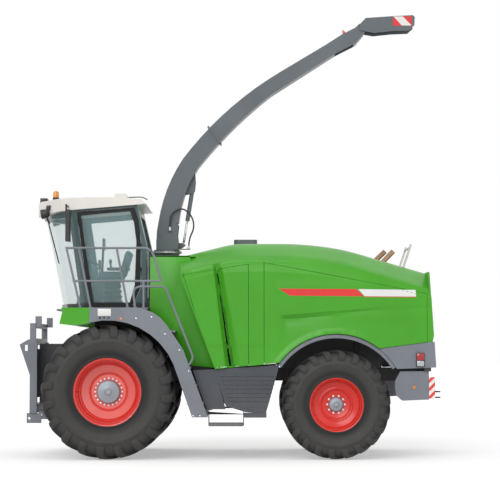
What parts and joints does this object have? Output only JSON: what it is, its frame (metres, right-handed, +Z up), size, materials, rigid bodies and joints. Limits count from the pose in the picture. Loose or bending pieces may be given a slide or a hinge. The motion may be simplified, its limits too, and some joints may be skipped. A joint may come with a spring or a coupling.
{
  "type": "forage harvester",
  "caption": "Self-propelled forage harvester with a curved discharge spout, a glazed cab, lugged tyres, steered rear wheels, opening hood panels and a lifting header frame.",
  "frame": {"origin": "on the ground, in the middle of the machine's length and width", "axes": "+X forward, +Y to the machine's left, +Z up"},
  "size_m": [6.49, 3.26, 6.89],
  "materials": {
    "green_paint": "semi-gloss green paint",
    "grey_paint": "mid grey paint",
    "dark_paint": "dark grey chassis paint",
    "red_paint": "red wheel paint",
    "white_paint": "off-white paint",
    "board_plastic": "reflective board",
    "tyre_rubber": "moulded tyre rubber",
    "cast_iron": "painted casting",
    "steel": "bare steel",
    "chrome": "hard chrome rod",
    "window": "tinted safety glass",
    "lamp_amber": "amber lens and black base",
    "lamp_red": "red lens",
    "black_plastic": "black moulded plastic",
    "seat_fabric": "woven seat cover",
    "hose_rubber": "hydraulic hose"
  },
  "bodies": {
    "chassis": {"front_axle": "dark_paint", "rear_axle": "dark_paint", "chassis_rails": "dark_paint", "chassis_brackets": "dark_paint", "tail_frame": "dark_paint", "engine_block": "cast_iron", "chopper_housing": "dark_paint", "crop_duct": "dark_paint", "platform": "dark_paint", "lamp_housings": "black_plastic", "mudguards": "grey_paint", "stairs": "dark_paint", "handrails": "dark_paint", "cab_frame": "black_plastic", "cab_roof": "white_paint", "cab_glass": "window", "mirrors": "dark_paint", "roof_lamps": "lamp_amber", "seat": "seat_fabric", "console": "black_plastic", "hood_front": "green_paint", "hood_band": "grey_paint", "hood_top": "green_paint", "intake_box": "grey_paint", "tail_panel": "grey_paint", "rear_boxes": "grey_paint", "tail_lamps": "lamp_red", "marker_boards": "board_plastic", "arch_liners": "dark_paint", "side_skirts": "dark_paint", "exhausts": "steel", "spout_rest": "dark_paint"},
    "wheel_front_left": {"tyre_front_left": "tyre_rubber", "rim_front_left": "red_paint"},
    "wheel_front_right": {"tyre_front_right": "tyre_rubber", "rim_front_right": "red_paint"},
    "knuckle_left": {"knuckle_left": "dark_paint"},
    "knuckle_right": {"knuckle_right": "dark_paint"},
    "wheel_rear_left": {"tyre_rear_left": "tyre_rubber", "rim_rear_left": "red_paint"},
    "wheel_rear_right": {"tyre_rear_right": "tyre_rubber", "rim_rear_right": "red_paint"},
    "steering_rod": {"steering_rod": "chrome"},
    "cab_door": {"cab_door": "black_plastic", "cab_door_glass": "window"},
    "spout_base": {"spout_base": "dark_paint", "hose_loop": "hose_rubber"},
    "spout": {"spout": "green_paint", "spout_arm": "green_paint"},
    "spout_flap": {"spout_flap": "dark_paint"},
    "lift_barrel": {"lift_barrel": "dark_paint"},
    "lift_rod": {"lift_rod": "chrome"},
    "intake": {"intake_housing": "green_paint", "feed_rolls": "steel", "header_frame": "grey_paint"},
    "side_panel_left": {"side_panel_left": "green_paint"},
    "side_panel_right": {"side_panel_right": "green_paint"},
    "side_door_left": {"side_door_left": "green_paint"},
    "side_door_right": {"side_door_right": "green_paint"}
  },
  "joints": [
    {"name": "front_left_wheel_spin", "type": "hinge", "parent": "chassis", "child": "wheel_front_left", "pos_m": [1.842, 1.23, 1], "axis": [0, 1, 0], "continuous": true},
    {"name": "front_right_wheel_spin", "type": "hinge", "parent": "chassis", "child": "wheel_front_right", "pos_m": [1.842, -1.23, 1], "axis": [0, 1, 0], "continuous": true},
    {"name": "left_steer", "type": "hinge", "parent": "chassis", "child": "knuckle_left", "pos_m": [-1.55, 0.9, 0.812], "axis": [0, 0, 1], "range_deg": [-35, 35]},
    {"name": "right_steer", "type": "hinge", "parent": "chassis", "child": "knuckle_right", "pos_m": [-1.55, -0.9, 0.812], "axis": [0, 0, 1], "range_deg": [-35, 35]},
    {"name": "rear_left_wheel_spin", "type": "hinge", "parent": "knuckle_left", "child": "wheel_rear_left", "pos_m": [-1.55, 1.235, 0.812], "axis": [0, 1, 0], "continuous": true},
    {"name": "rear_right_wheel_spin", "type": "hinge", "parent": "knuckle_right", "child": "wheel_rear_right", "pos_m": [-1.55, -1.235, 0.812], "axis": [0, 1, 0], "continuous": true},
    {"name": "steering_rod_slide", "type": "slide", "parent": "chassis", "child": "steering_rod", "axis": [0, 1, 0], "range_m": [-0.1406, 0.1406]},
    {"name": "cab_door_swing", "type": "hinge", "parent": "chassis", "child": "cab_door", "pos_m": [1.393, 0.9, 2.94], "axis": [0, 0, 1], "range_deg": [0, 40]},
    {"name": "spout_turn", "type": "hinge", "parent": "chassis", "child": "spout_base", "pos_m": [1.04, 0, 3.165], "axis": [0, 0, 1], "range_deg": [-90, 90]},
    {"name": "spout_lift", "type": "hinge", "parent": "spout_base", "child": "spout", "pos_m": [1.15, 0, 3.42], "axis": [0, -1, 0], "range_deg": [0, 49]},
    {"name": "flap_tilt", "type": "hinge", "parent": "spout", "child": "spout_flap", "pos_m": [-2.04, 0, 6.7], "axis": [0, -1, 0], "range_deg": [-10, 60]},
    {"name": "lift_barrel_tilt", "type": "hinge", "parent": "spout", "child": "lift_barrel", "pos_m": [0.64, 0, 4.14], "axis": [0, -1, 0], "range_deg": [0, 4]},
    {"name": "lift_rod_slide", "type": "slide", "parent": "lift_barrel", "child": "lift_rod", "axis": [0.158, 0, -0.9874], "range_m": [-0.342, 0]},
    {"name": "intake_lift", "type": "hinge", "parent": "chassis", "child": "intake", "pos_m": [2.25, 0, 1], "axis": [0, -1, 0], "range_deg": [-8, 12]},
    {"name": "left_panel_open", "type": "hinge", "parent": "chassis", "child": "side_panel_left", "pos_m": [-0.48, 1.45, 2.928], "axis": [0.982, 0, 0.1887], "range_deg": [0, 65]},
    {"name": "right_panel_open", "type": "hinge", "parent": "chassis", "child": "side_panel_right", "pos_m": [-0.48, -1.45, 2.928], "axis": [-0.982, 0, -0.1887], "range_deg": [0, 65]},
    {"name": "left_door_open", "type": "hinge", "parent": "chassis", "child": "side_door_left", "pos_m": [-0.245, 1.45, 2.125], "axis": [0, 0, 1], "range_deg": [0, 90]},
    {"name": "right_door_open", "type": "hinge", "parent": "chassis", "child": "side_door_right", "pos_m": [-0.245, -1.45, 2.125], "axis": [0, 0, -1], "range_deg": [0, 90]}
  ],
  "couplings": [
    {"joint": "right_steer", "follows": "left_steer", "ratio": 1},
    {"joint": "steering_rod_slide", "follows": "left_steer", "m_per_rad": -0.23},
    {"joint": "lift_barrel_tilt", "follows": "spout_lift", "ratio": 0.0805},
    {"joint": "lift_rod_slide", "follows": "spout_lift", "m_per_rad": -0.3986}
  ]
}
